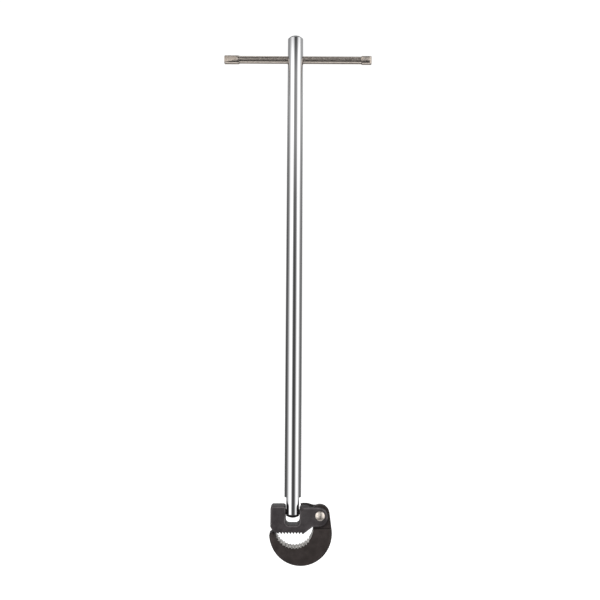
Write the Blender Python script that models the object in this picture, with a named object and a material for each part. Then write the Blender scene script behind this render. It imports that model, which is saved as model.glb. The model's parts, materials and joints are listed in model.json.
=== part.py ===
"""Basin wrench: a round shaft with a sliding cross bar at the top and a swivelling head at the bottom, which
carries a sprung hook jaw. Metres, +Z up. The origin is where the cross bar's axis meets the shaft's axis."""

from math import acos, atan2, cos, degrees, pi, radians, sin, tan

import bmesh
import bpy
from mathutils import Vector

MM = 0.001

# Shaft
SHAFT_D = 12.7 * MM
SHAFT_ABOVE_BAR = 19.8 * MM
SWIVEL_BELOW_BAR = 350.9 * MM
DOME_HEIGHT = 3.0 * MM
FLATS_ACROSS = 9.5 * MM
FLATS_ABOVE_SWIVEL = 10.9 * MM
TANG_BELOW_SWIVEL = 4.3 * MM
MOUTH_D = 9.6 * MM
MOUTH_DEPTH = 0.6 * MM

# Cross bar
BAR_D = 6.0 * MM
BAR_LEFT = 56.7 * MM
BAR_RIGHT = 60.7 * MM
SWAGE_TALL = 7.1 * MM
SWAGE_LEFT_LONG = 12.5 * MM
SWAGE_RIGHT_LONG = 7.6 * MM
SWAGE_TAPER = 1.4 * MM
SWAGE_CUT = 0.9 * MM

# Head body, measured from the swivel axis
BODY_HALF_THICK = 8.0 * MM
BODY_LEFT = 16.3 * MM
LEFT_EAR_TOP = 5.1 * MM
RIGHT_TOP = 4.3 * MM
BODY_RIGHT = 25.9 * MM
BODY_BOTTOM = 14.6 * MM
SLANT_START = 9.8 * MM
SLANT_END = 12.9 * MM
SLOPE_START = 8.0 * MM
NOTCH_X = 14.7 * MM
NOTCH_Z = 9.6 * MM
EAR_BOTTOM = 9.1 * MM
SLOT_BELOW_SWIVEL = 8.5 * MM
SLOT_CORNER = 2.8 * MM
BODY_EDGE = 1.2 * MM

# Jaw pivot and hook jaw
PIVOT_X = 20.1 * MM
PIVOT_Z = -1.6 * MM
TONGUE_THICK = 7.4 * MM
HOOK_THICK = 14.0 * MM
HOOK_OUTER_X = 5.85 * MM
HOOK_OUTER_Z = -14.5 * MM
HOOK_OUTER_R = 23.05 * MM
HOOK_INNER_X = 1.2 * MM
HOOK_INNER_Z = -10.5 * MM
HOOK_INNER_R = 13.95 * MM
HOOK_EDGE = 1.9 * MM
NOSE_R = 2.2 * MM
SHOULDER_BELOW_PIVOT = 9.5 * MM

# Teeth
TOOTH_PITCH = 2.23 * MM
BODY_TOOTH_DEPTH = 1.1 * MM
JAW_TOOTH_DEPTH = 0.8 * MM
BODY_TEETH = 9
JAW_TEETH = 13

# Pins and spring
SWIVEL_PIN_D = 4.0 * MM
SWIVEL_PIN_RIGHT = 10.5 * MM
SWIVEL_PIN_INSET = 0.4 * MM
RIVET_D = 6.0 * MM
RIVET_HEAD_D = RIVET_D + 0.8 * MM
RIVET_HEAD_HEIGHT = 1.1 * MM
RIVET_BACK_INSET = 0.3 * MM
WIRE_D = 1.4 * MM
COIL_BORE_CLEARANCE = 0.5 * MM
COIL_R = RIVET_D / 2 + COIL_BORE_CLEARANCE + WIRE_D / 2
COIL_PITCH = 1.65 * MM
LEG_BEND_X = -8.6 * MM
LEG_BEND_Z = 6.85 * MM
RAMP_LEFT = -9.4 * MM
COIL_POCKET_R = COIL_R + 1.2 * MM
COIL_POCKET_FLOOR = TONGUE_THICK / 2 - 5.3 * MM
KNUCKLE_R = COIL_POCKET_R + 1.9 * MM

# Clearances
PIN_CLEARANCE = 0.1 * MM
BAR_CLEARANCE = 0.2 * MM
SLOT_CLEARANCE = 0.35 * MM
TONGUE_CLEARANCE = 0.3 * MM
REST_GAP = 0.3 * MM

ROUND = 48


def clear_scene():
    for old in list(bpy.data.objects):
        bpy.data.objects.remove(old, do_unlink=True)


def metal(name, colour, roughness):
    material = bpy.data.materials.new(name)
    material.use_nodes = True
    shader = material.node_tree.nodes["Principled BSDF"]
    shader.inputs["Base Color"].default_value = (*colour, 1.0)
    shader.inputs["Metallic"].default_value = 1.0
    shader.inputs["Roughness"].default_value = roughness
    return material


def arc(x, z, radius, start, end, steps):
    """Points in degrees from start to end, both included."""
    turn = [radians(start + (end - start) * i / steps) for i in range(steps + 1)]
    return [(x + radius * cos(a), z + radius * sin(a)) for a in turn]


def filleted(corners, steps=6):
    """The outline through (x, z, radius) corners, with each corner rounded to its radius."""
    points = []
    for i, (x, z, radius) in enumerate(corners):
        here = Vector((x, z))
        before = Vector(corners[i - 1][:2]) - here
        after = Vector(corners[(i + 1) % len(corners)][:2]) - here
        if radius <= 0:
            points.append((x, z))
            continue
        half = before.angle(after) / 2
        reach = radius / tan(half)
        middle = here + (before.normalized() + after.normalized()).normalized() * (radius / sin(half))
        first = here + before.normalized() * reach - middle
        last = here + after.normalized() * reach - middle
        start = atan2(first.y, first.x)
        sweep = (atan2(last.y, last.x) - start + pi) % (2 * pi) - pi
        for k in range(steps + 1):
            angle = start + sweep * k / steps
            points.append((middle.x + radius * cos(angle), middle.y + radius * sin(angle)))
    return points


def extruded(outline, low, high):
    """A prism along Y with this outline in X and Z."""
    bm = bmesh.new()
    front = [bm.verts.new((x, low, z)) for x, z in outline]
    back = [bm.verts.new((x, high, z)) for x, z in outline]
    bm.faces.new(front)
    bm.faces.new(back[::-1])
    for i in range(len(outline)):
        j = (i + 1) % len(outline)
        bm.faces.new((front[j], front[i], back[i], back[j]))
    bmesh.ops.recalc_face_normals(bm, faces=bm.faces)
    return bm


def ringed(rings):
    """A closed skin through rings of points, with a flat cap at each end."""
    bm = bmesh.new()
    skin = [[bm.verts.new(point) for point in ring] for ring in rings]
    for low, high in zip(skin, skin[1:]):
        for i in range(len(low)):
            j = (i + 1) % len(low)
            bm.faces.new((low[i], low[j], high[j], high[i]))
    bm.faces.new(skin[0][::-1])
    bm.faces.new(skin[-1])
    bmesh.ops.recalc_face_normals(bm, faces=bm.faces)
    return bm


def turned(profile, axis, sides=ROUND):
    """A solid of revolution through (position along the axis, radius) points."""
    places = {
        "X": lambda t, a, b: (t, a, b),
        "Y": lambda t, a, b: (b, t, a),
        "Z": lambda t, a, b: (a, b, t),
    }
    turns = [2 * pi * (i + 0.5) / sides for i in range(sides)]
    rings = [[places[axis](t, r * cos(a), r * sin(a)) for a in turns] for t, r in profile]
    return ringed(rings)


def tube(path, radius, sides):
    """A round wire along a path of points."""
    across = None
    rings = []
    for i, point in enumerate(path):
        along = (path[min(i + 1, len(path) - 1)] - path[max(i - 1, 0)]).normalized()
        if across is None:
            across = along.orthogonal().normalized()
        across = (across - along * across.dot(along)).normalized()
        other = along.cross(across)
        turns = [2 * pi * k / sides for k in range(sides)]
        rings.append([point + (across * cos(a) + other * sin(a)) * radius for a in turns])
    return ringed(rings)


def moved(bm, x=0.0, y=0.0, z=0.0):
    bmesh.ops.translate(bm, verts=bm.verts, vec=(x, y, z))
    return bm


def placed(name, bm, origin, material=None, smooth=None):
    """An object from a mesh given in world coordinates, with its origin on its joint or its axis."""
    moved(bm, -origin[0], -origin[1], -origin[2])
    mesh = bpy.data.meshes.new(name)
    bm.to_mesh(mesh)
    bm.free()
    obj = bpy.data.objects.new(name, mesh)
    bpy.context.scene.collection.objects.link(obj)
    obj.location = origin
    if material is None:
        obj.hide_render = True
        obj.display_type = "WIRE"
    else:
        mesh.materials.append(material)
    if smooth is not None:
        mesh.shade_smooth()
        mesh.set_sharp_from_angle(angle=radians(smooth))
    return obj


def cut(target, name, bm):
    cutter = placed(name, bm, target.location.copy())
    modifier = target.modifiers.new(name, "BOOLEAN")
    modifier.operation = "DIFFERENCE"
    modifier.solver = "EXACT"
    modifier.object = cutter


def dome(radius, height, steps=6):
    """(drop below the crown, radius) points of a shallow round end, from its small flat to the side."""
    ball = (radius * radius + height * height) / (2 * height)
    reach = acos((ball - height) / ball)
    turns = [reach * (0.06 + 0.94 * i / steps) for i in range(steps + 1)]
    return [(ball * (1 - cos(a)), ball * sin(a)) for a in turns]


ORIGIN = Vector((0, 0, 0))
SWIVEL = Vector((0, 0, -SWIVEL_BELOW_BAR))
PIVOT = Vector((PIVOT_X, 0, PIVOT_Z - SWIVEL_BELOW_BAR))


def build_shaft(material):
    radius = SHAFT_D / 2
    top = SHAFT_ABOVE_BAR
    bottom = -(SWIVEL_BELOW_BAR + TANG_BELOW_SWIVEL)
    crown = dome(radius, DOME_HEIGHT)
    profile = [(bottom + drop, r) for drop, r in crown]
    profile += [(top - drop, r) for drop, r in reversed(crown)]
    shaft = placed("shaft", turned(profile, "Z"), ORIGIN, material, 35)
    hole = BAR_D / 2 + BAR_CLEARANCE
    past = 2 * MM
    flare = (MOUTH_D / 2 - hole) * past / MOUTH_DEPTH
    side = [
        (radius + past, MOUTH_D / 2 + flare),
        (radius - MOUTH_DEPTH, hole),
    ]
    cut(shaft, "bar_hole", turned([(-x, r) for x, r in side] + side[::-1], "X"))
    shoulder = -SWIVEL_BELOW_BAR + FLATS_ABOVE_SWIVEL
    for name, sign in (("left_flat", -1), ("right_flat", 1)):
        near = sign * FLATS_ACROSS / 2
        far = sign * SHAFT_D
        low = bottom - past
        box = [(near, low), (far, low), (far, shoulder), (near, shoulder)]
        cut(shaft, name, extruded(box, -SHAFT_D, SHAFT_D))
    pin = SWIVEL_PIN_D / 2 + PIN_CLEARANCE
    hole = turned([(-SHAFT_D, pin), (SHAFT_D, pin)], "X", 32)
    cut(shaft, "swivel_hole", moved(hole, z=-SWIVEL_BELOW_BAR))


def build_bar(material):
    half = BAR_D / 2
    left = -BAR_LEFT
    right = BAR_RIGHT
    edge = 0.7 * MM
    sections = [
        (left, half - edge, SWAGE_TALL / 2 - edge),
        (left + edge, half, SWAGE_TALL / 2),
        (left + SWAGE_LEFT_LONG - SWAGE_TAPER, half, SWAGE_TALL / 2),
        (left + SWAGE_LEFT_LONG, half, half),
        (right - SWAGE_RIGHT_LONG, half, half),
        (right - SWAGE_RIGHT_LONG + SWAGE_TAPER, half, SWAGE_TALL / 2),
        (right - edge, half, SWAGE_TALL / 2),
        (right, half - edge, SWAGE_TALL / 2 - edge),
    ]
    turns = [2 * pi * (i + 0.5) / ROUND for i in range(ROUND)]
    rings = [[(x, deep * cos(a), tall * sin(a)) for a in turns] for x, deep, tall in sections]
    bar = placed("t_bar", ringed(rings), ORIGIN, material, 35)
    # The punch that flattened each end struck its front, above a ledge left along the lower edge.
    face = -half + SWAGE_CUT
    ledge = -1.0 * MM
    far = 3 * half
    run_out = left + SWAGE_LEFT_LONG - SWAGE_TAPER
    slope = 1.6 * MM
    struck = [(left - half, ledge), (run_out - slope, ledge), (run_out, far), (left - half, far)]
    cut(bar, "left_struck_face", extruded(struck, -far, face))
    run_out = right - SWAGE_RIGHT_LONG - 0.8 * MM
    struck = [(run_out, ledge), (right + half, ledge), (right + half, far), (run_out, far)]
    cut(bar, "right_struck_face", extruded(struck, -far, face))


def leg_line():
    """Where the spring's leg leaves the coil, as an angle and a point from the pivot, and its direction."""
    bend = Vector((LEG_BEND_X, LEG_BEND_Z))
    leave = atan2(bend.y, bend.x) - acos(COIL_R / bend.length)
    start = Vector((COIL_R * cos(leave), COIL_R * sin(leave)))
    return leave, start, (bend - start).normalized()


def build_body(material):
    wall = FLATS_ACROSS / 2 + SLOT_CLEARANCE
    outline = filleted(
        [
            (-BODY_LEFT, -SLANT_START, 2.0 * MM),
            (-SLANT_END, -BODY_BOTTOM, 0.0),
            (SLOPE_START, -BODY_BOTTOM, 0.0),
            (NOTCH_X, -NOTCH_Z, 0.0),
            (BODY_RIGHT, -EAR_BOTTOM, 6.5 * MM),
            (BODY_RIGHT, RIGHT_TOP, 6.5 * MM),
            (wall, RIGHT_TOP, 2.3 * MM),
            (wall, -SLOT_BELOW_SWIVEL, SLOT_CORNER),
            (-wall, -SLOT_BELOW_SWIVEL, SLOT_CORNER),
            (-wall, LEFT_EAR_TOP, 1.8 * MM),
            (-BODY_LEFT, LEFT_EAR_TOP, 2.2 * MM),
        ]
    )
    bm = extruded(outline, -BODY_HALF_THICK, BODY_HALF_THICK)
    rims = [e for e in bm.edges if abs(e.verts[0].co.y - e.verts[1].co.y) < 1e-6]
    bmesh.ops.bevel(bm, geom=rims, offset=BODY_EDGE, segments=2, profile=0.5, affect="EDGES")
    body = placed("head_body", moved(bm, z=SWIVEL.z), SWIVEL, material, 40)

    # The gap between the two ears, for the jaw's tongue, with a ramp out of it under the spring's leg
    gap_r = KNUCKLE_R + TONGUE_CLEARANCE + 0.1 * MM
    far = 45 * MM
    _, start, along = leg_line()
    base = start + Vector((-along.y, along.x)) * (WIRE_D / 2 + REST_GAP + 0.05 * MM)
    level = base.dot(along)
    meet = base + along * ((level * level - base.length_squared + gap_r * gap_r) ** 0.5 - level)
    left = base + along * ((RAMP_LEFT - base.x) / along.x)
    gap = [(PIVOT_X + left.x, far), (PIVOT_X + left.x, PIVOT_Z + left.y)]
    gap += arc(PIVOT_X, PIVOT_Z, gap_r, degrees(atan2(meet.y, meet.x)), 180, 8)
    gap += [(PIVOT_X - gap_r, -far), (far, -far), (far, far)]
    half = TONGUE_THICK / 2 + TONGUE_CLEARANCE
    cut(body, "tongue_gap", moved(extruded(gap, -half, half), z=SWIVEL.z))

    rivet = RIVET_D / 2 + PIN_CLEARANCE
    deep = BODY_HALF_THICK * 2
    cut(body, "rivet_hole", moved(turned([(-deep, rivet), (deep, rivet)], "Y"), *PIVOT))

    pin = SWIVEL_PIN_D / 2 + PIN_CLEARANCE
    ends = [(-BODY_LEFT - 2 * MM, pin), (SWIVEL_PIN_RIGHT + REST_GAP, pin)]
    cut(body, "pin_hole", moved(turned(ends, "X", 32), *SWIVEL))

    for i in range(BODY_TEETH):
        x = -SLANT_END + (i + 0.9) * TOOTH_PITCH
        notch = [
            (x - TOOTH_PITCH * 0.5, -BODY_BOTTOM - 0.2 * MM),
            (x, -BODY_BOTTOM + BODY_TOOTH_DEPTH),
            (x + TOOTH_PITCH * 0.5, -BODY_BOTTOM - 0.2 * MM),
        ]
        cut(body, f"body_tooth_{i + 1}", moved(extruded(notch, -deep, deep), z=SWIVEL.z))


def jaw_outline():
    """The hook jaw's outline seen from the side, and how many of its points lie on the outer side."""
    between = Vector((PIVOT_X - HOOK_OUTER_X, PIVOT_Z - HOOK_OUTER_Z))
    lean = acos((HOOK_OUTER_R - KNUCKLE_R) / between.length)
    tangent = atan2(between.y, between.x) - lean
    along = Vector((SLANT_END - BODY_LEFT, BODY_BOTTOM - SLANT_START)).normalized()
    out = Vector((-along.y, along.x))
    if out.x > 0:
        out = -out
    start = Vector((-BODY_LEFT, -SLANT_START)) + out * (NOSE_R + REST_GAP)
    centre = Vector((HOOK_OUTER_X, HOOK_OUTER_Z))
    down = -along
    gap = start - centre
    inner = gap.dot(down)
    reach = gap.length_squared - (HOOK_OUTER_R - NOSE_R) ** 2
    nose = start + down * (-inner - (inner * inner - reach) ** 0.5)
    left = atan2(nose.y - centre.y, nose.x - centre.x) % (2 * pi)
    touch = atan2(-out.y, -out.x)
    sweep = (left - touch) % (2 * pi)
    points = []
    for i in range(9):
        angle = touch + sweep * i / 8
        points.append((nose.x + NOSE_R * cos(angle), nose.y + NOSE_R * sin(angle)))
    end = tangent + 2 * pi
    for i in range(1, 41):
        angle = left + (end - left) * i / 40
        points.append((centre.x + HOOK_OUTER_R * cos(angle), centre.y + HOOK_OUTER_R * sin(angle)))
    for i in range(25):
        angle = tangent + (radians(205) - tangent) * i / 24
        points.append((PIVOT_X + KNUCKLE_R * cos(angle), PIVOT_Z + KNUCKLE_R * sin(angle)))
    outer = len(points)
    points += arc(HOOK_INNER_X, HOOK_INNER_Z, HOOK_INNER_R, -2, -160, 48)
    return points, outer


def build_jaw(material):
    outline, outer = jaw_outline()
    half = HOOK_THICK / 2
    bm = extruded(outline, -half, half)
    bm.verts.ensure_lookup_table()
    count = len(outline)
    rims = []
    for edge in bm.edges:
        a, b = sorted(v.index for v in edge.verts)
        if a // count == b // count and b % count < outer and b - a == 1:
            rims.append(edge)
    bmesh.ops.bevel(bm, geom=rims, offset=HOOK_EDGE, segments=3, profile=0.5, affect="EDGES")
    jaw = placed("hook_jaw", moved(bm, z=SWIVEL.z), PIVOT, material, 40)

    tongue = TONGUE_THICK / 2
    shoulder = PIVOT_Z - SHOULDER_BELOW_PIVOT
    far = 45 * MM
    above = [
        (NOTCH_X - 5 * MM, shoulder - 0.3 * MM),
        (far, shoulder + 0.6 * MM),
        (far, far),
        (NOTCH_X - 5 * MM, far),
    ]
    cut(jaw, "front_shoulder", moved(extruded(above, -far, -tongue), z=SWIVEL.z))
    cut(jaw, "back_shoulder", moved(extruded(above, tongue, far), z=SWIVEL.z))

    rivet = RIVET_D / 2 + PIN_CLEARANCE
    cut(jaw, "pivot_hole", moved(turned([(-far, rivet), (far, rivet)], "Y"), *PIVOT))
    floor = COIL_POCKET_FLOOR
    pocket = turned([(floor, COIL_POCKET_R), (far, COIL_POCKET_R)], "Y")
    cut(jaw, "coil_pocket", moved(pocket, *PIVOT))
    sector = [(0.0, 0.0)] + arc(0.0, 0.0, 12 * MM, 22, 150, 16)
    cut(jaw, "leg_window", moved(extruded(sector, 2.0 * MM, far), *PIVOT))
    near = COIL_R - WIRE_D
    wide = COIL_R + WIRE_D
    slot = [(near, -9.0 * MM), (wide, -9.0 * MM), (wide, 0.0), (near, 0.0)]
    cut(jaw, "leg_slot", moved(extruded(slot, floor, far), *PIVOT))

    step = TOOTH_PITCH / HOOK_INNER_R
    for i in range(JAW_TEETH):
        middle = radians(-157.5) + (i + 0.6) * step
        notch = []
        for turn, radius in ((-0.5, -0.2 * MM), (0.5, -0.2 * MM), (0.0, JAW_TOOTH_DEPTH)):
            angle = middle + turn * step
            reach = HOOK_INNER_R + radius
            notch.append((HOOK_INNER_X + reach * cos(angle), HOOK_INNER_Z + reach * sin(angle)))
        cut(jaw, f"jaw_tooth_{i + 1}", moved(extruded(notch, -far, far), z=SWIVEL.z))


def build_pins(material, rivet_material):
    radius = SWIVEL_PIN_D / 2
    edge = 0.4 * MM
    left = -BODY_LEFT + SWIVEL_PIN_INSET
    right = SWIVEL_PIN_RIGHT
    profile = [
        (left, radius - edge),
        (left + edge, radius),
        (right - edge, radius),
        (right, radius - edge),
    ]
    placed("swivel_pin", moved(turned(profile, "X", 32), *SWIVEL), SWIVEL, material, 35)

    head = RIVET_HEAD_D / 2
    face = -BODY_HALF_THICK - REST_GAP
    crown = dome(head, RIVET_HEAD_HEIGHT)
    profile = [(face - RIVET_HEAD_HEIGHT + drop, r) for drop, r in crown]
    profile += [(face + 0.05 * MM, head), (face + 0.05 * MM, RIVET_D / 2)]
    back = BODY_HALF_THICK - RIVET_BACK_INSET
    profile += [(back - edge, RIVET_D / 2), (back, RIVET_D / 2 - edge)]
    placed("jaw_pin", moved(turned(profile, "Y"), *PIVOT), PIVOT, rivet_material, 35)


def build_spring(material):
    """A torsion coil round the rivet, with one leg on the body's top and the other in the jaw's slot."""
    back = TONGUE_THICK / 2 - WIRE_D / 2
    leave, start, _ = leg_line()
    path = [
        Vector((-14.2 * MM, back, 6.6 * MM)),
        Vector((-13.2 * MM, back, 6.95 * MM)),
        Vector((-12.0 * MM, back, 7.05 * MM)),
        Vector((-10.6 * MM, back, 7.05 * MM)),
        Vector((-9.4 * MM, back, 7.0 * MM)),
        Vector((LEG_BEND_X, back, LEG_BEND_Z)),
    ]
    first = Vector((start.x, back, start.y))
    path.append((path[-1] + first) / 2)
    steps = 62
    sweep = -(2 * pi * 2 + (leave % (2 * pi)))
    for i in range(steps + 1):
        angle = leave + sweep * i / steps
        y = back - COIL_PITCH * abs(sweep) / (2 * pi) * i / steps
        path.append(Vector((COIL_R * cos(angle), y, COIL_R * sin(angle))))
    last = path[-1]
    for drop in (2.5, 5.0, 8.0):
        path.append(last + Vector((0, 0, -drop * MM)))
    placed("jaw_spring", moved(tube(path, WIRE_D / 2, 10), *PIVOT), PIVOT, material, 50)


clear_scene()
CHROME = metal("polished_chrome", (0.62, 0.62, 0.62), 0.08)
NICKEL = metal("nickel_plate", (0.48, 0.45, 0.42), 0.3)
BLACK = metal("black_oxide_steel", (0.075, 0.075, 0.078), 0.45)
DARK = metal("browned_oxide_steel", (0.085, 0.075, 0.07), 0.45)
ZINC = metal("zinc_steel", (0.6, 0.58, 0.55), 0.3)
SPRING = metal("spring_steel", (0.1, 0.1, 0.1), 0.4)
build_shaft(CHROME)
build_bar(NICKEL)
build_body(BLACK)
build_jaw(DARK)
build_pins(ZINC, ZINC)
build_spring(SPRING)
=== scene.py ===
"""A basin wrench hung head down: a chromed shaft with a plated cross bar through its top, and at its foot a
black forged head with a sprung hook jaw."""

import json
from math import acos, atan2, cos, degrees, hypot, pi, radians, sin, tan

import bmesh
import bpy
from mathutils import Matrix, Vector


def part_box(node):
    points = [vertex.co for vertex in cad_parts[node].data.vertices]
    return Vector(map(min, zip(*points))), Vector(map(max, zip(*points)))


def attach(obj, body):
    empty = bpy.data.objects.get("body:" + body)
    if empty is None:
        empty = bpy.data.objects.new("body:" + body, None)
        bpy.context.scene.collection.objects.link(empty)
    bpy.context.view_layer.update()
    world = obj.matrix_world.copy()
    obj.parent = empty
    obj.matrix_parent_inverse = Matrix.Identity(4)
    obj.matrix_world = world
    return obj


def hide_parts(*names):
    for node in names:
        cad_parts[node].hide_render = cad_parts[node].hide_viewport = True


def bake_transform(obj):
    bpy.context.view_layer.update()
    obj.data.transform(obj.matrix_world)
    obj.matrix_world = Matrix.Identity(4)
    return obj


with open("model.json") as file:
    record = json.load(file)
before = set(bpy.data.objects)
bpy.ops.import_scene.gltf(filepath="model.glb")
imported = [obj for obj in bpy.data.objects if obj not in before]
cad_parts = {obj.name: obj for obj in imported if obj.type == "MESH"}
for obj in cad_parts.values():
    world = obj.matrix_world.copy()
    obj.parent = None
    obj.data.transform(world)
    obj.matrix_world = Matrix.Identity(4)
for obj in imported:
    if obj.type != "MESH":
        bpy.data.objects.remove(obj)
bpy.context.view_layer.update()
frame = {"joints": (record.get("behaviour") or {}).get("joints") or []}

MM = 0.001
ROUND = 128

# Places on the frame
joints = {joint["name"]: joint for joint in frame["joints"]}
SWIVEL = Vector(joints["head_swivel"]["pos_m"])
PIVOT = Vector(joints["jaw_pivot"]["pos_m"])
SHAFT_LOW, SHAFT_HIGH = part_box("shaft")
BAR_LOW, BAR_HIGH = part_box("t_bar")
BODY_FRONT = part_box("head_body")[0].y
JAW_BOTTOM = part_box("hook_jaw")[0].z
RIVET_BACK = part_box("jaw_pin")[1].y
PIN_LOW, PIN_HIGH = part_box("swivel_pin")

# Measurements. Those with MM are in metres. The rest are in millimetres from the swivel, or in degrees.

# Shaft, and the holes through it and the head
SHAFT_R = 6.35 * MM
SHAFT_DOME = 3.0 * MM
SHAFT_HALF_FLATS = 4.75 * MM
FLATS_RISE = 10.9 * MM
CROSS_HOLE_R = 3.2 * MM
MOUTH_R = 8.0 * MM
MOUTH_DEEP = 1.8 * MM
MOUTH_FROM_AXIS = 6.65 * MM
PIN_HOLE_R = 2.1 * MM
RIVET_HOLE_R = 3.1 * MM
# Far enough to pass right through the shaft or the bar, and through the head
PAST_SHAFT = 9 * MM
PAST_HEAD = 12 * MM
# Edges of turned and punched pieces
SHARP_EDGE = 0.12 * MM
PIN_EDGE = 0.4 * MM

# Cross bar
BAR_R = 3.0 * MM
BAR_END_GROWTH = 3.55 / 3.0
BAR_END_EDGE = 0.7 * MM
LEFT_END = 12.5 * MM
LEFT_TAPER = 1.4 * MM
LEFT_PUNCH = 11.1 * MM
LEFT_PUNCH_TILT = -8
RIGHT_END = 8.4 * MM
RIGHT_TAPER = 0.8 * MM
RIGHT_SLOPE = 30
RIGHT_CORNER = 1.6 * MM
PUNCH_DEEP = 0.9 * MM
PUNCH_LEDGE = -1.0 * MM

# Head body, and the corners of its outline as (x, z, radius)
BODY_CORNERS = (
    (-16.3, -9.8, 2.0),
    (-12.9, -14.6, 0),
    (8.0, -14.6, 0),
    (14.7, -9.6, 0),
    (25.9, -9.1, 6.5),
    (25.9, 4.3, 6.5),
    (5.1, 4.3, 2.3),
    (5.1, -8.5, 2.8),
    (-5.1, -8.5, 2.8),
    (-5.1, 5.1, 1.8),
    (-16.3, 5.1, 2.2),
)
BODY_HALF = 8
BODY_ROUNDING = 1.2 * MM
# Width of the band along the front and back rims that is painted paler as a highlight, with some rubbing
BODY_RIM_HIGHLIGHT_BAND = 0.9 * MM
GAP_LEFT = 10.7
GAP_HALF = 4
GAP_R = 7.7
RAMP_FOOT = 4.39
RAMP_MEETS_ARC = 139.8
PIN_HOLE_LEFT = -20
PIN_HOLE_RIGHT = 10.8
# Clear of the whole head on any side
FAR = 45

# Hook jaw
OUTER = (5.85, -14.5)
OUTER_R = 23.05
INNER = (1.2, -10.5)
INNER_R = 13.95
NOSE = (-14.93, -16.13)
NOSE_R = 2.2
NOSE_SLANT = (4.8, 3.4)
KNUCKLE = (20.1, -1.6)
KNUCKLE_R = 7.3
KNUCKLE_END = 205
THROAT_START = -2
THROAT_END = -160
JAW_HALF = 7.0
JAW_ROUNDING = 1.9 * MM
# Width of the band along the front and back rims that is painted paler as a highlight, with some rubbing
JAW_RIM_HIGHLIGHT_BAND = 1.2 * MM
TONGUE_HALF = 3.7
SHOULDER_LEFT = 9.7
SHOULDER_DROP = 9.5
POCKET_R = 5.4 * MM
POCKET_FLOOR = -1.6
# Low and high corners of the ways out of the pocket, in millimetres from the rivet
LEG_WAYS = (
    ((-12, 2.0, 2.2), (12, 12, 12)),
    ((2.8, POCKET_FLOOR, -9.0), (5.6, 12, 0)),
)

# Teeth. Each row starts a little along from its edge, by ROW_SHIFT of a tooth.
TOOTH_PITCH = 2.23
ROW_SHIFT = 0.1
BODY_TEETH = 9
BODY_ROW_LEFT = -12.9
BODY_TIPS = -14.8
BODY_ROOTS = -13.3
BODY_ROOT_HALF = 0.2
JAW_TEETH = 13
JAW_ROW_START = -157.5
JAW_TIP = 0.2
JAW_ROOT = 0.9
# How far the cutters reach, clear of the metal
CUT_BELOW_BODY = -18
CUT_INSIDE_THROAT = 3
CUT_HALF = 16

# Rivet, swivel pin and spring wire
RIVET_R = 3.0 * MM
RIVET_HEAD_R = 3.4 * MM
RIVET_HEAD_DOME = 1.05 * MM
PIN_R = 2.0 * MM
WIRE_R = 0.7 * MM
COIL_R = 4.2 * MM
COIL_PITCH = 1.65 * MM
# How far the wire's leg in the jaw goes down from the coil, point by point, in millimetres
FOOT_POINTS = (2.5, 5.0, 8.0)
# The wire's leg on the body, as (x, z) in millimetres from the rivet, from its end to its bend
LEG = ((-14.2, 6.6), (-13.2, 6.95), (-12.0, 7.05), (-10.6, 7.05), (-9.4, 7.0), (-8.6, 6.85))


# Modelling


def only(obj):
    """Leaves this object alone selected and active, in object mode."""
    if bpy.context.mode != "OBJECT":
        bpy.ops.object.mode_set(mode="OBJECT")
    bpy.ops.object.select_all(action="DESELECT")
    obj.select_set(True)
    bpy.context.view_layer.objects.active = obj
    return obj


def settle(obj):
    """Puts the object's place, turn and scale into its mesh."""
    only(obj)
    bpy.ops.object.transform_apply(location=True, rotation=True, scale=True)
    return obj


def named(obj, name):
    obj.name = name
    obj.data.name = name
    return obj


def block(low, high, turn=0.0, about=None, axis="Y"):
    """A block between two corners, turned by this many degrees about an axis through a point."""
    bpy.ops.object.select_all(action="DESELECT")
    low = Vector(low)
    high = Vector(high)
    bpy.ops.mesh.primitive_cube_add(size=1, location=(low + high) / 2, scale=high - low)
    obj = settle(bpy.context.object)
    if turn:
        there = Matrix.Translation(Vector(about))
        obj.matrix_world = there @ Matrix.Rotation(radians(turn), 4, axis) @ there.inverted()
        settle(obj)
    return obj


def rod(start, end, radius, sides=ROUND):
    """A round bar from one point to another."""
    bpy.ops.object.select_all(action="DESELECT")
    along = Vector(end) - Vector(start)
    turn = along.to_track_quat("Z", "Y").to_euler()
    bpy.ops.mesh.primitive_cylinder_add(
        vertices=sides,
        radius=radius,
        depth=along.length,
        location=(Vector(start) + Vector(end)) / 2,
        rotation=turn,
    )
    return settle(bpy.context.object)


def sharp(least):
    """A test for edges that turn by more than this many degrees."""
    return lambda edge: edge.calc_face_angle(0) > radians(least)


def across(edge):
    """Whether an edge of a plate lies in its front or its back face."""
    first, second = (corner.co for corner in edge.verts)
    return abs(first.y - second.y) < 1e-6


def pick(obj, kind, wanted):
    """Opens the object for editing with just the wanted faces or edges selected."""
    only(obj)
    bpy.ops.object.mode_set(mode="EDIT")
    bpy.ops.mesh.select_mode(type=kind)
    bpy.ops.mesh.select_all(action="DESELECT")
    mesh = bmesh.from_edit_mesh(obj.data)
    chosen = mesh.faces if kind == "FACE" else mesh.edges
    for item in chosen:
        if wanted(item):
            item.select_set(True)
    bmesh.update_edit_mesh(obj.data)


def done():
    bpy.ops.object.mode_set(mode="OBJECT")


def carry_on(obj, direction, stages):
    """Extrudes the end cap that faces a direction through stages of (travel, scales along X, Y and Z)."""
    direction = Vector(direction)
    pick(obj, "FACE", lambda f: f.normal.dot(direction) > 0.999 and len(f.verts) > 8)
    mesh = bmesh.from_edit_mesh(obj.data)
    cap = [f for f in mesh.faces if f.select][0]
    centre = cap.calc_center_median()
    for travel, sizes in stages:
        centre = centre + direction * travel
        bpy.ops.mesh.extrude_region_move(TRANSFORM_OT_translate={"value": direction * travel})
        bpy.ops.transform.resize(value=sizes, center_override=centre)
    done()


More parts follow.
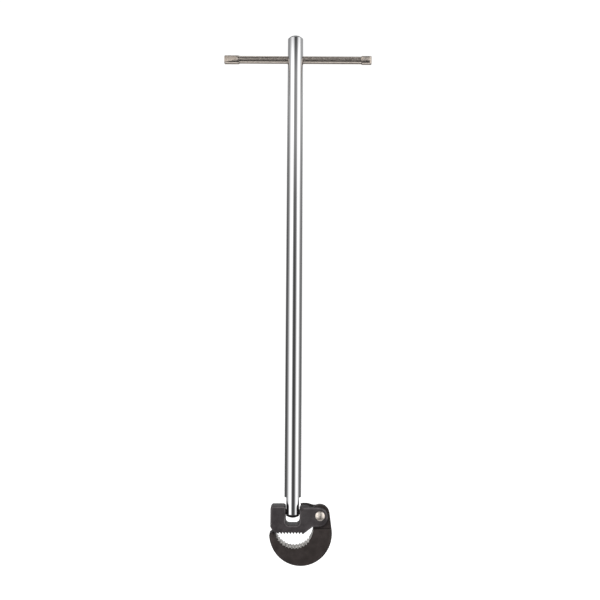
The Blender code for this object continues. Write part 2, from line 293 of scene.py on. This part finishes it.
def dome_stages(radius, height, steps, axis):
    """Stages that round an end over, from its full radius to a small flat on the crown."""
    ball = (radius * radius + height * height) / (2 * height)
    reach = acos((ball - height) / ball)
    turns = [reach * (1 - 0.96 * i / steps) for i in range(steps + 1)]
    stages = []
    for before, after in zip(turns, turns[1:]):
        travel = ball * (cos(after) - cos(before))
        shrink = sin(after) / sin(before)
        sizes = [shrink, shrink, shrink]
        sizes[axis] = 1.0
        stages.append((travel, sizes))
    return stages


def merge(obj, cutter, operation="DIFFERENCE"):
    """Cuts with, joins or keeps what is inside another object, which is then gone."""
    only(obj)
    modifier = obj.modifiers.new("merge", "BOOLEAN")
    modifier.operation = operation
    modifier.solver = "EXACT"
    modifier.object = cutter
    bpy.ops.object.modifier_apply(modifier=modifier.name)
    bpy.data.objects.remove(cutter, do_unlink=True)
    return obj


def round_edges(obj, wanted, width, segments):
    pick(obj, "EDGE", wanted)
    bpy.ops.mesh.bevel(
        offset=width,
        offset_type="OFFSET",
        segments=segments,
        affect="EDGES",
        clamp_overlap=False,
    )
    done()


def arc(centre, radius, first, last, steps):
    """Points in X and Z round a centre, from one angle in degrees to another."""
    turns = [radians(first + (last - first) * i / steps) for i in range(steps + 1)]
    return [(centre[0] + radius * cos(a), centre[1] + radius * sin(a)) for a in turns]


def filleted(corners, steps=12):
    """The outline through corners of (x, z, radius), each rounded to its radius."""
    points = []
    for i, (x, z, radius) in enumerate(corners):
        here = Vector((x, z))
        before = (Vector(corners[i - 1][:2]) - here).normalized()
        after = (Vector(corners[(i + 1) % len(corners)][:2]) - here).normalized()
        if not radius:
            points.append((x, z))
            continue
        half = before.angle(after) / 2
        middle = here + (before + after).normalized() * radius / sin(half)
        first = here + before * radius / tan(half) - middle
        last = here + after * radius / tan(half) - middle
        begin = degrees(atan2(first.y, first.x))
        sweep = (degrees(atan2(last.y, last.x)) - begin + 180) % 360 - 180
        points += arc(middle, radius, begin, begin + sweep, steps)
    return points


def plate(outline, half):
    """A plate across Y, from an outline in millimetres from the swivel and half its thickness."""
    bpy.ops.object.select_all(action="DESELECT")
    bpy.ops.mesh.primitive_circle_add(vertices=len(outline), radius=MM, fill_type="NGON")
    obj = bpy.context.object
    pick(obj, "FACE", lambda f: True)
    mesh = bmesh.from_edit_mesh(obj.data)
    ring = [corner.vert for corner in mesh.faces[:][0].loops]
    for vert, (x, z) in zip(ring, outline):
        vert.co = near_swivel(x, -half, z)
    bmesh.update_edit_mesh(obj.data)
    bpy.ops.mesh.extrude_region_move(TRANSFORM_OT_translate={"value": (0, 2 * half * MM, 0)})
    bpy.ops.mesh.select_all(action="SELECT")
    bpy.ops.mesh.normals_make_consistent(inside=False)
    done()
    return obj


def smooth(obj, angle=32):
    only(obj)
    bpy.ops.object.shade_smooth_by_angle(angle=radians(angle))
    return obj


def mark_rims(obj, half, width):
    """Stores how near each point is to a rounded front or back rim, for the painted rim highlight of the
    finish, with some rubbing.
    """
    marks = obj.data.attributes.new("rim", "FLOAT", "POINT")
    for mark, point in zip(marks.data, obj.data.vertices):
        inward = half - abs(point.co.y)
        mark.value = max(0.0, 1 - inward / width) if inward > 0.01 * MM else 0.0
    return obj


def near_swivel(x, y, z):
    return SWIVEL + Vector((x, y, z)) * MM


# Shaft


def make_shaft():
    low = SHAFT_LOW.z + SHAFT_DOME
    shaft = rod((0, 0, low), (0, 0, SHAFT_HIGH.z - SHAFT_DOME), SHAFT_R)
    for up in (1, -1):
        carry_on(shaft, (0, 0, up), dome_stages(SHAFT_R, SHAFT_DOME, 10, 2))
    merge(shaft, rod((-PAST_SHAFT, 0, 0), (PAST_SHAFT, 0, 0), CROSS_HOLE_R, 64))
    for side in (-1, 1):
        # The mouth of the cross hole is flared and polished, so its rim bends the reflections.
        bpy.ops.object.select_all(action="DESELECT")
        bpy.ops.mesh.primitive_cone_add(
            vertices=64,
            radius1=CROSS_HOLE_R * 0.98,
            radius2=MOUTH_R,
            depth=MOUTH_DEEP,
            location=(side * MOUTH_FROM_AXIS, 0, 0),
            rotation=(0, radians(90 * side), 0),
        )
        merge(shaft, settle(bpy.context.object))
    for side in (-1, 1):
        xs = sorted((side * SHAFT_HALF_FLATS, side * PAST_SHAFT))
        low = (xs[0], -PAST_SHAFT, SHAFT_LOW.z - MM)
        merge(shaft, block(low, (xs[1], PAST_SHAFT, SWIVEL.z + FLATS_RISE)))
    through = Vector((PAST_SHAFT, 0, 0))
    merge(shaft, rod(SWIVEL - through, SWIVEL + through, PIN_HOLE_R, 48))
    round_edges(shaft, sharp(40), SHARP_EDGE, 2)
    return named(smooth(shaft), "shaft_chromed")


# Cross bar


def end_stages(length, taper):
    """Stages that grow the bar into a struck end of this length and round its edge over."""
    grown = [1 + (BAR_END_GROWTH - 1) * (0.5 - 0.5 * cos(pi * i / 4)) for i in range(5)]
    stages = [(taper / 4, (1, 1, after / before)) for before, after in zip(grown, grown[1:])]
    straight = length - taper - BAR_END_EDGE
    stages += [(straight / 6, (1, 1, 1))] * 6
    turns = [pi / 2 * i / 4 for i in range(5)]
    for before, after in zip(turns, turns[1:]):
        wide = 1 - BAR_END_EDGE / BAR_R * (1 - cos(before))
        narrow = 1 - BAR_END_EDGE / BAR_R * (1 - cos(after))
        travel = BAR_END_EDGE * (sin(after) - sin(before))
        stages.append((travel, (1, narrow / wide, narrow / wide)))
    return stages


def make_bar():
    left = (BAR_LOW.x + LEFT_END, 0, 0)
    right = (BAR_HIGH.x - RIGHT_END, 0, 0)
    bar = rod(left, right, BAR_R, 96)
    carry_on(bar, (-1, 0, 0), end_stages(LEFT_END, LEFT_TAPER))
    carry_on(bar, (1, 0, 0), end_stages(RIGHT_END, RIGHT_TAPER))
    # The left end's punch left one flat face, a little tilted, with a ledge under it.
    face = -BAR_R + PUNCH_DEEP
    front = -PAST_SHAFT
    top = PAST_SHAFT
    inner = BAR_LOW.x + LEFT_PUNCH
    high = (inner - MM, face, top)
    hinge = (inner, face, PUNCH_LEDGE)
    merge(bar, block((BAR_LOW.x - MM, front, PUNCH_LEDGE), high, LEFT_PUNCH_TILT, hinge))
    # The right end's punch left a sloped step and pressed the corner of the end back.
    run = PUNCH_DEEP / tan(radians(RIGHT_SLOPE))
    inner = BAR_HIGH.x - RIGHT_END
    merge(bar, block((inner + run, front, PUNCH_LEDGE), (BAR_HIGH.x + MM, face, top)))
    step = (inner, -BAR_R, PUNCH_LEDGE)
    high = (inner + 2 * MM, -BAR_R, top)
    merge(bar, block((inner, front, PUNCH_LEDGE), high, RIGHT_SLOPE, step, "Z"))
    corner = (BAR_HIGH.x - RIGHT_CORNER, face, 0)
    high = (BAR_HIGH.x + 2 * MM, face, top)
    merge(bar, block((corner[0], front, -top), high, RIGHT_SLOPE, corner, "Z"))
    round_edges(bar, sharp(40), SHARP_EDGE, 2)
    return named(smooth(bar), "cross_bar_plated")


# Head body


def make_body():
    body = plate(filleted(BODY_CORNERS), BODY_HALF)
    round_edges(body, across, BODY_ROUNDING, 5)
    # The gap between the ears, for the jaw's tongue, with a ramp out of it under the spring's leg
    gap = [(GAP_LEFT, FAR), (GAP_LEFT, RAMP_FOOT)]
    gap += arc(KNUCKLE, GAP_R, RAMP_MEETS_ARC, 180, 24)
    gap += [(KNUCKLE[0] - GAP_R, -FAR), (FAR, -FAR), (FAR, FAR)]
    merge(body, plate(gap, GAP_HALF))
    deep = Vector((0, PAST_HEAD, 0))
    merge(body, rod(PIVOT - deep, PIVOT + deep, RIVET_HOLE_R, 96))
    ends = (near_swivel(PIN_HOLE_LEFT, 0, 0), near_swivel(PIN_HOLE_RIGHT, 0, 0))
    merge(body, rod(*ends, PIN_HOLE_R, 64))
    merge(body, straight_teeth())
    mark_rims(body, BODY_HALF * MM, BODY_RIM_HIGHLIGHT_BAND)
    return named(smooth(body), "head_body_forged")


def straight_teeth():
    """The cutter for the body's row of teeth, with a saw-toothed top."""
    left = BODY_ROW_LEFT + ROW_SHIFT * TOOTH_PITCH
    right = left + BODY_TEETH * TOOTH_PITCH
    saw = [(right, CUT_BELOW_BODY), (left, CUT_BELOW_BODY), (left, BODY_TIPS)]
    for i in range(BODY_TEETH):
        middle = left + (i + 0.5) * TOOTH_PITCH
        saw.append((middle - BODY_ROOT_HALF, BODY_ROOTS))
        saw.append((middle + BODY_ROOT_HALF, BODY_ROOTS))
        saw.append((middle + TOOTH_PITCH / 2, BODY_TIPS))
    return plate(saw, CUT_HALF)


# Hook jaw


def jaw_outline():
    """Round the nose, down the hook's back, up to the knuckle, over it, and back along the throat."""
    slant = degrees(atan2(NOSE_SLANT[1], NOSE_SLANT[0]))
    sideways = KNUCKLE[0] - OUTER[0]
    up = KNUCKLE[1] - OUTER[1]
    spare = acos((OUTER_R - KNUCKLE_R) / hypot(sideways, up))
    tangent = degrees(atan2(up, sideways) - spare)
    back = degrees(atan2(NOSE[1] - OUTER[1], NOSE[0] - OUTER[0])) % 360
    points = arc(NOSE, NOSE_R, slant, back, 20)
    points += arc(OUTER, OUTER_R, back, tangent + 360, 110)[1:]
    points += arc(KNUCKLE, KNUCKLE_R, tangent, KNUCKLE_END, 56)[1:]
    points += arc(INNER, INNER_R, THROAT_START, THROAT_END, 110)
    return points


def on_throat(point):
    away = point - near_swivel(INNER[0], 0, INNER[1])
    return abs(hypot(away.x, away.z) - INNER_R * MM) < 0.01 * MM


def outer_rim(edge):
    return across(edge) and not any(on_throat(corner.co) for corner in edge.verts)


def make_jaw():
    jaw = plate(jaw_outline(), JAW_HALF)
    round_edges(jaw, outer_rim, JAW_ROUNDING, 6)
    # Shoulders, where the thick hook drops to the thin tongue
    shoulder = KNUCKLE[1] - SHOULDER_DROP
    above = [(SHOULDER_LEFT, shoulder - 0.3), (FAR, shoulder + 0.6), (FAR, FAR), (SHOULDER_LEFT, FAR)]
    for side in (-1, 1):
        cutter = plate(above, GAP_HALF)
        cutter.location.y = side * (TONGUE_HALF + GAP_HALF) * MM
        merge(jaw, settle(cutter))
    deep = Vector((0, PAST_HEAD, 0))
    merge(jaw, rod(PIVOT - deep, PIVOT + deep, RIVET_HOLE_R, 96))
    # The pocket for the coil and the ways out of it for its two legs
    floor = Vector((0, POCKET_FLOOR * MM, 0))
    merge(jaw, rod(PIVOT + floor, PIVOT + deep, POCKET_R, 96))
    for low, high in LEG_WAYS:
        merge(jaw, block(PIVOT + Vector(low) * MM, PIVOT + Vector(high) * MM))
    merge(jaw, arc_teeth())
    mark_rims(jaw, JAW_HALF * MM, JAW_RIM_HIGHLIGHT_BAND)
    return named(smooth(jaw), "hook_jaw_forged")


def arc_teeth():
    """The cutter for the jaw's arc of teeth, with a saw-toothed edge."""
    step = degrees(TOOTH_PITCH / INNER_R)
    first = JAW_ROW_START + ROW_SHIFT * step
    last = first + JAW_TEETH * step
    saw = arc(INNER, INNER_R - CUT_INSIDE_THROAT, last, first, 2 * JAW_TEETH)
    saw += arc(INNER, INNER_R - JAW_TIP, first, first, 1)[:1]
    for i in range(JAW_TEETH):
        middle = first + (i + 0.5) * step
        saw += arc(INNER, INNER_R + JAW_ROOT, middle, middle, 1)[:1]
        saw += arc(INNER, INNER_R - JAW_TIP, middle + step / 2, middle, 1)[:1]
    return plate(saw, CUT_HALF)


# Pins and spring


def make_rivet():
    front = Vector((PIVOT.x, BODY_FRONT - 0.25 * MM, PIVOT.z))
    rivet = rod(front, Vector((PIVOT.x, RIVET_BACK, PIVOT.z)), RIVET_R, 96)
    wider = RIVET_HEAD_R / RIVET_R
    stages = [(0.0, (wider, 1, wider)), (0.05 * MM, (1, 1, 1))]
    stages += dome_stages(RIVET_HEAD_R, RIVET_HEAD_DOME, 12, 1)
    carry_on(rivet, (0, -1, 0), stages)

    def at_the_back(edge):
        return all(corner.co.y > RIVET_BACK - 1e-6 for corner in edge.verts)

    round_edges(rivet, at_the_back, PIN_EDGE, 4)
    return named(smooth(rivet, 40), "jaw_rivet_zinc")


def make_swivel_pin():
    pin = rod((PIN_LOW.x, 0, SWIVEL.z), (PIN_HIGH.x, 0, SWIVEL.z), PIN_R, 64)
    round_edges(pin, sharp(60), PIN_EDGE, 4)
    return named(smooth(pin, 40), "swivel_pin_zinc")


def spring_path():
    """The wire's centre line: the leg on the body, the coil round the rivet, and the leg in the jaw."""
    back = TONGUE_HALF * MM - WIRE_R
    path = [Vector((x * MM, back, z * MM)) for x, z in LEG]
    bend = Vector((path[-1].x, path[-1].z))
    leave = atan2(bend.y, bend.x) - acos(COIL_R / bend.length)
    path.append((path[-1] + Vector((COIL_R * cos(leave), back, COIL_R * sin(leave)))) / 2)
    sweep = -(4 * pi + leave % (2 * pi))
    steps = 96
    for i in range(steps + 1):
        angle = leave + sweep * i / steps
        y = back - COIL_PITCH * abs(sweep) / (2 * pi) * i / steps
        path.append(Vector((COIL_R * cos(angle), y, COIL_R * sin(angle))))
    foot = path[-1]
    path += [foot + Vector((0, 0, -z * MM)) for z in FOOT_POINTS]
    return [PIVOT + point for point in path]


def make_spring():
    points = spring_path()
    curve = bpy.data.curves.new("jaw_spring_wire", "CURVE")
    curve.dimensions = "3D"
    curve.bevel_depth = WIRE_R
    curve.bevel_resolution = 4
    curve.use_fill_caps = True
    spline = curve.splines.new("POLY")
    spline.points.add(len(points) - 1)
    for slot, point in zip(spline.points, points):
        slot.co = (*point, 1)
    spring = bpy.data.objects.new("jaw_spring_wire", curve)
    bpy.context.scene.collection.objects.link(spring)
    only(spring)
    bpy.ops.object.convert(target="MESH")
    spring = bpy.context.object
    pick(spring, "FACE", lambda f: True)
    bpy.ops.mesh.remove_doubles(threshold=1e-6)
    bpy.ops.mesh.normals_make_consistent(inside=False)
    done()
    return named(smooth(spring, 50), "jaw_spring_wire")


# Materials


def linear(code):
    """A colour from its sRGB hex code."""
    parts = [int(code[i : i + 2], 16) / 255 for i in (1, 3, 5)]
    return (*(p / 12.92 if p <= 0.04045 else ((p + 0.055) / 1.055) ** 2.4 for p in parts), 1.0)


def add(tree, kind, settings=(), links=()):
    """A node with its settings and the sockets that feed it."""
    node = tree.nodes.new(kind)
    for key, value in dict(settings).items():
        if isinstance(key, str) and hasattr(node, key):
            setattr(node, key, value)
        else:
            node.inputs[key].default_value = value
    for key, source in dict(links).items():
        tree.links.new(source, node.inputs[key])
    return node


def start(name, settings):
    material = bpy.data.materials.new(name)
    material.use_nodes = True
    tree = material.node_tree
    shader = tree.nodes["Principled BSDF"]
    for key, value in settings.items():
        shader.inputs[key].default_value = value
    return material, tree, shader


def ramp(tree, source, stops):
    """A colour ramp whose stops are (place, colour)."""
    node = add(tree, "ShaderNodeValToRGB", links={"Fac": source})
    points = node.color_ramp.elements
    while len(points) < len(stops):
        points.new(0.5)
    for point, (place, colour) in zip(points, stops):
        point.position = place
        point.color = colour
    return node


def spread(tree, source, low, high):
    """A number from 0 to 1 brought between two others."""
    settings = {"To Min": low, "To Max": high}
    return add(tree, "ShaderNodeMapRange", settings, {"Value": source}).outputs["Result"]


def pattern(tree, size, stretch=(1, 1, 1), detail=3.0, distortion=0.0):
    """Noise whose blotches are about this many metres across, stretched along an axis."""
    place = add(tree, "ShaderNodeTexCoord").outputs["Object"]
    scale = tuple(1 / (size * s) for s in stretch)
    place = add(tree, "ShaderNodeMapping", {"Scale": scale}, {"Vector": place}).outputs["Vector"]
    settings = {"Scale": 1.0, "Detail": detail, "Distortion": distortion}
    return add(tree, "ShaderNodeTexNoise", settings, {"Vector": place}).outputs["Fac"]


def product(tree, first, second):
    settings = {"operation": "MULTIPLY"}
    return add(tree, "ShaderNodeMath", settings, {0: first, 1: second}).outputs[0]


def bump(tree, shader, source, strength, distance):
    settings = {"Strength": strength, "Distance": distance}
    node = add(tree, "ShaderNodeBump", settings, {"Height": source})
    tree.links.new(node.outputs["Normal"], shader.inputs["Normal"])


def chrome_plate():
    """Bright chrome over a drawn bar: mirror streaks down its length, softened by faint polishing lines."""
    settings = {"Metallic": 1.0, "Base Color": linear("#CBCBCC")}
    material, tree, shader = start("polished_chrome_plate", settings)
    lines = pattern(tree, 0.5 * MM, (1, 1, 40))
    clouds = pattern(tree, 9 * MM, (1, 1, 3))
    both = product(tree, lines, clouds)
    tree.links.new(spread(tree, both, 0.02, 0.09), shader.inputs["Roughness"])
    bump(tree, shader, lines, 0.04, 0.02 * MM)
    return material


def nickel_plate():
    """Nickel over ground rod: warm grey, crisp light and dark lines along it, and small dark flecks."""
    settings = {"Metallic": 1.0, "Anisotropic": 1.0, "Anisotropic Rotation": 0.25}
    material, tree, shader = start("ground_nickel_plate", settings)
    # Grinding lines run round the rod, so light spreads along it: the tangent round X is turned a quarter.
    around = add(tree, "ShaderNodeTangent", {"direction_type": "RADIAL", "axis": "X"})
    tree.links.new(around.outputs["Tangent"], shader.inputs["Tangent"])
    streaks = pattern(tree, 0.4 * MM, (12, 1, 1))
    flecks = pattern(tree, 0.8 * MM, (2, 1, 1), 5.0)
    both = product(tree, streaks, flecks)
    shade = ramp(tree, both, ((0.1, linear("#9C9289")), (0.26, linear("#CBC1B8"))))
    tree.links.new(shade.outputs["Color"], shader.inputs["Base Color"])
    tree.links.new(spread(tree, flecks, 0.14, 0.24), shader.inputs["Roughness"])
    bump(tree, shader, both, 0.03, 0.03 * MM)
    return material


def struck_nickel(name, rough):
    """The punched faces at the bar's ends: plating over hammered metal, pale, dull and pitted."""
    material, tree, shader = start(name, {"Metallic": 0.85})
    pits = pattern(tree, 0.4 * MM, (1, 1, 1), 6.0)
    shade = ramp(tree, pits, ((0.3, linear("#8C8177")), (0.62, linear("#C6BBB0"))))
    tree.links.new(shade.outputs["Color"], shader.inputs["Base Color"])
    tree.links.new(spread(tree, pits, rough, rough + 0.2), shader.inputs["Roughness"])
    bump(tree, shader, pits, 0.6, 0.08 * MM)
    return material


def black_oxide(name, dark, light, rim_highlight_and_rubbing, rough):
    """Black oxide on a drop forging: near black and satin, with a fine scale grain, and a paler colour
    painted along the rims as a highlight, with some rubbing.
    """
    material, tree, shader = start(name, {"Metallic": 0.0, "Specular IOR Level": 0.15})
    grain = pattern(tree, 0.5 * MM, (1, 1, 1), 6.0)
    clouds = pattern(tree, 5 * MM, (1, 1, 1), 3.0)
    both = product(tree, grain, clouds)
    shade = ramp(tree, both, ((0.14, linear(dark)), (0.42, linear(light))))
    # Painted highlight: a paler colour mixed in, in patches, along the front and back rims. It stands in for
    # the light line that the rounded rims catch, with some rubbing.
    rim = add(tree, "ShaderNodeAttribute", {"attribute_name": "rim"}).outputs["Fac"]
    patches = spread(tree, clouds, -0.6, 1.6)
    clamped = {"operation": "MULTIPLY", "use_clamp": True}
    rim_highlight_and_rubbing_mask = add(tree, "ShaderNodeMath", clamped, {0: rim, 1: patches})
    mix = {"data_type": "RGBA", 7: linear(rim_highlight_and_rubbing)}
    colour = add(tree, "ShaderNodeMix", mix, {0: rim_highlight_and_rubbing_mask.outputs[0], 6: shade.outputs["Color"]})
    tree.links.new(colour.outputs[2], shader.inputs["Base Color"])
    tree.links.new(spread(tree, clouds, rough, rough + 0.16), shader.inputs["Roughness"])
    bump(tree, shader, grain, 0.35, 0.05 * MM)
    return material


def bare_teeth():
    """Broached teeth with the oxide rubbed through: pale grey steel with dark cutting lines across the jaw.
    """
    material, tree, shader = start("worn_broached_steel", {"Metallic": 0.6})
    lines = pattern(tree, 0.7 * MM, (1, 6, 1), 5.0)
    shade = ramp(tree, lines, ((0.38, linear("#45413E")), (0.6, linear("#D9D5D0"))))
    tree.links.new(shade.outputs["Color"], shader.inputs["Base Color"])
    tree.links.new(spread(tree, lines, 0.3, 0.5), shader.inputs["Roughness"])
    bump(tree, shader, lines, 0.3, 0.03 * MM)
    return material


def zinc_plate():
    """Bright zinc on the rivet and the pin: pale and slightly warm, with the small dents of riveting."""
    material, tree, shader = start("bright_zinc_plate", {"Metallic": 1.0})
    dents = pattern(tree, 1.3 * MM, (1, 1, 1), 2.0)
    shade = ramp(tree, dents, ((0.3, linear("#D2C6BB")), (0.7, linear("#F6EEE6"))))
    tree.links.new(shade.outputs["Color"], shader.inputs["Base Color"])
    tree.links.new(spread(tree, dents, 0.36, 0.52), shader.inputs["Roughness"])
    bump(tree, shader, dents, 0.3, 0.12 * MM)
    return material


def spring_wire():
    """Oil-blackened spring wire: dark and satin, with drawing lines."""
    material, tree, shader = start("oiled_spring_wire", {"Metallic": 0.6})
    grain = pattern(tree, 0.3 * MM, (1, 1, 1), 4.0)
    shade = ramp(tree, grain, ((0.35, linear("#1D1C1C")), (0.7, linear("#4A4745"))))
    tree.links.new(shade.outputs["Color"], shader.inputs["Base Color"])
    tree.links.new(spread(tree, grain, 0.3, 0.45), shader.inputs["Roughness"])
    return material


def coat(obj, material, *others):
    """Gives the piece its finish, and the faces that pass a test another, from (material, test) pairs."""
    obj.data.materials.clear()
    obj.data.materials.append(material)
    for other, _ in others:
        obj.data.materials.append(other)
    for face in obj.data.polygons:
        face.material_index = 0
        for place, (_, wanted) in enumerate(others, 1):
            if wanted(face):
                face.material_index = place


def on_left_paddle(face):
    left = face.center.x < BAR_LOW.x + 12 * MM
    return left and face.normal.y < -0.95 and -2.3 * MM < face.center.y < -0.5 * MM


def on_right_slopes(face):
    right = face.center.x > BAR_HIGH.x - 9 * MM and face.center.y < -0.5 * MM
    return right and 0.7 < -face.normal.y < 0.92 and face.normal.x > 0.4


def on_arc_teeth(face):
    arm = face.center - near_swivel(INNER[0], 0, INNER[1])
    reach = hypot(arm.x, arm.z)
    inward = -(face.normal.x * arm.x + face.normal.z * arm.z) / max(reach, MM)
    near_the_arc = reach < (INNER_R + 1.0) * MM
    return near_the_arc and inward > 0.3 and abs(face.normal.y) < 0.5


# The pieces on their bodies

# The third colour of each finish is the painted rim highlight, with some rubbing; on the jaw it is barely
# paler than the oxide.
oxide = black_oxide("black_oxide_forging", "#272425", "#3C393A", "#5C5859", 0.48)
brown_oxide = black_oxide("browned_oxide_forging", "#231F1E", "#332E2D", "#383332", 0.5)
teeth = bare_teeth()
zinc = zinc_plate()

shaft = make_shaft()
coat(shaft, chrome_plate())
bar = make_bar()
paddle = struck_nickel("struck_nickel_plate", 0.38)
slopes = struck_nickel("pressed_nickel_plate", 0.24)
coat(bar, nickel_plate(), (paddle, on_left_paddle), (slopes, on_right_slopes))
body = make_body()
coat(body, oxide)
jaw = make_jaw()
coat(jaw, brown_oxide, (teeth, on_arc_teeth))
rivet = make_rivet()
coat(rivet, zinc)
pin = make_swivel_pin()
coat(pin, zinc)
spring = make_spring()
coat(spring, spring_wire())

# The spring's coil winds up between its leg on the body and its leg in the jaw.
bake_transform(spring)
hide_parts("jaw_spring")
for piece, carrier, node, finish in (
    (shaft, "shaft", "shaft", "chrome"),
    (bar, "cross_bar", "t_bar", "nickel"),
    (body, "head", "head_body", "black_steel"),
    (jaw, "jaw", "hook_jaw", "brown_steel"),
    (rivet, "head", "jaw_pin", "zinc"),
    (pin, "head", "swivel_pin", "zinc"),
):
    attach(piece, carrier)
    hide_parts(node)

# Floor

FLOOR_GAP = 0.05
bpy.ops.object.select_all(action="DESELECT")
bpy.ops.mesh.primitive_plane_add(size=12, location=(0, 0, JAW_BOTTOM - FLOOR_GAP))
floor = named(bpy.context.object, "floor")
# White studio paper: even and matt, glowing a little so that it stays plain
PAPER = {
    "Base Color": linear("#F4F4F4"),
    "Roughness": 0.9,
    "Emission Color": (1, 1, 1, 1),
    "Emission Strength": 0.85,
}
floor.data.materials.append(start("white_paper_floor", PAPER)[0])
floor.visible_glossy = False
floor.visible_diffuse = False

# Studio light: white walls round the tool, with the dark gap of the open front and darker corners beside it.
# The levels in the tables are brightness; 1.0 is plain white.


def round_the_room(tree, source, low, high, table):
    """A grey ramp over a number, from (place, level) pairs that use the number's own units."""
    settings = {"From Min": low, "From Max": high}
    place = add(tree, "ShaderNodeMapRange", settings, {"Value": source}).outputs["Result"]
    stops = [((at - low) / (high - low), (level, level, level, 1)) for at, level in table]
    return ramp(tree, place, stops).outputs["Color"]


def by_height(tree, rise, table):
    """The level at a height in a table, from the upward part of a direction."""
    table = [(sin(radians(angle)), level) for angle, level in table]
    return round_the_room(tree, rise, -1.0, 1.0, table)


def studio():
    world = bpy.data.worlds.new("studio")
    bpy.context.scene.world = world
    world.use_nodes = True
    tree = world.node_tree
    tree.nodes.clear()
    way = add(tree, "ShaderNodeTexCoord").outputs["Generated"]
    east, north, rise = add(tree, "ShaderNodeSeparateXYZ", links={0: way}).outputs
    negated = {"operation": "MULTIPLY", 1: -1.0}
    south = add(tree, "ShaderNodeMath", negated, {0: north}).outputs[0]
    turn = add(tree, "ShaderNodeMath", {"operation": "ARCTAN2"}, {0: east, 1: south}).outputs[0]
    all_round = [(radians(angle), level) for angle, level in WALL]
    sources = {0: round_the_room(tree, turn, -pi, pi, all_round), 1: by_height(tree, rise, HEIGHT)}
    walls = add(tree, "ShaderNodeVectorMath", {"operation": "MULTIPLY"}, sources).outputs[0]
    sources = {0: walls, 1: by_height(tree, rise, SPILL)}
    light = add(tree, "ShaderNodeVectorMath", {"operation": "ADD"}, sources).outputs[0]
    # The walls are narrow strips, so they show in polished metal more than they light dull forgings.
    rays = add(tree, "ShaderNodeLightPath").outputs
    sources = {"Color": light, "Strength": spread(tree, rays["Is Diffuse Ray"], 1.0, 0.4)}
    inside = add(tree, "ShaderNodeBackground", links=sources)
    plain = add(tree, "ShaderNodeBackground", {"Color": (1, 1, 1, 1), "Strength": 1.05})
    sources = {0: rays["Is Camera Ray"], 1: inside.outputs[0], 2: plain.outputs[0]}
    mixed = add(tree, "ShaderNodeMixShader", links=sources)
    add(tree, "ShaderNodeOutputWorld", links={"Surface": mixed.outputs[0]})


# Level of the walls by angle from the open front, in degrees, anticlockwise seen from above
WALL = (
    (-180, 1.1),
    (-150, 0.35),
    (-128, 0.08),
    (-100, 0.14),
    (-86, 0.3),
    (-70, 0.8),
    (-54, 1.7),
    (-26, 1.8),
    (-17, 0.6),
    (-8, 0.08),
    (15, 0.08),
    (29, 0.4),
    (40, 1.5),
    (64, 1.8),
    (84, 0.5),
    (105, 0.2),
    (130, 0.2),
    (180, 1.1),
)
# The same by height, in degrees above the horizon
HEIGHT = (
    (-90, 0.9),
    (-75, 0.6),
    (-64, 0.3),
    (-58, 0.02),
    (-36, 0.02),
    (-29, 0.6),
    (-23, 1.0),
    (35, 1.1),
    (38, 0.6),
    (42, 0.03),
    (62, 0.05),
    (76, 0.8),
    (90, 1.1),
)
# Stray light that reaches every side alike, by height. It greys the dark gap where it is seen from above.
SPILL = (
    (-90, 0.6),
    (-62, 0.35),
    (-52, 0.03),
    (-6, 0.0),
    (10, 0.03),
    (18, 0.1),
    (26, 0.3),
    (34, 0.3),
    (40, 0.0),
    (60, 0.0),
    (90, 0.3),
)
studio()

bpy.ops.object.select_all(action="DESELECT")
bpy.ops.object.light_add(type="AREA", location=(-0.1, -1.1, 0.1))
lamp = named(bpy.context.object, "soft_box")
lamp.data.shape = "DISK"
lamp.data.size = 0.9
lamp.data.energy = 22
# It points a little below the middle of the shaft.
aim = Vector((0, 0, SWIVEL.z * 0.6)) - lamp.location
lamp.rotation_euler = aim.to_track_quat("-Z", "Y").to_euler()
lamp.visible_glossy = False

# Camera: below the cross bar and level with the shaft's lower half, looking slightly up

PLACE = Vector((4.6, -548.6, -257.2)) * MM
PITCH = radians(6.7)
ROLL = radians(0.3)
LENS = 43.2
ahead = Vector((0, cos(PITCH), sin(PITCH)))
upright = Vector((0, -sin(PITCH), cos(PITCH)))
aside = ahead.cross(upright)
right = aside * cos(ROLL) + upright * sin(ROLL)
over = upright * cos(ROLL) - aside * sin(ROLL)
camera = bpy.data.objects.new("camera", bpy.data.cameras.new("camera"))
camera.data.lens = LENS
camera.data.sensor_width = 36
camera.data.clip_start = 0.01
bpy.context.scene.collection.objects.link(camera)
camera.matrix_world = Matrix.Translation(PLACE) @ Matrix((right, over, -ahead)).transposed().to_4x4()
bpy.context.scene.camera = camera
bpy.context.scene.view_settings.view_transform = "Standard"
bpy.context.scene.view_settings.look = "None"
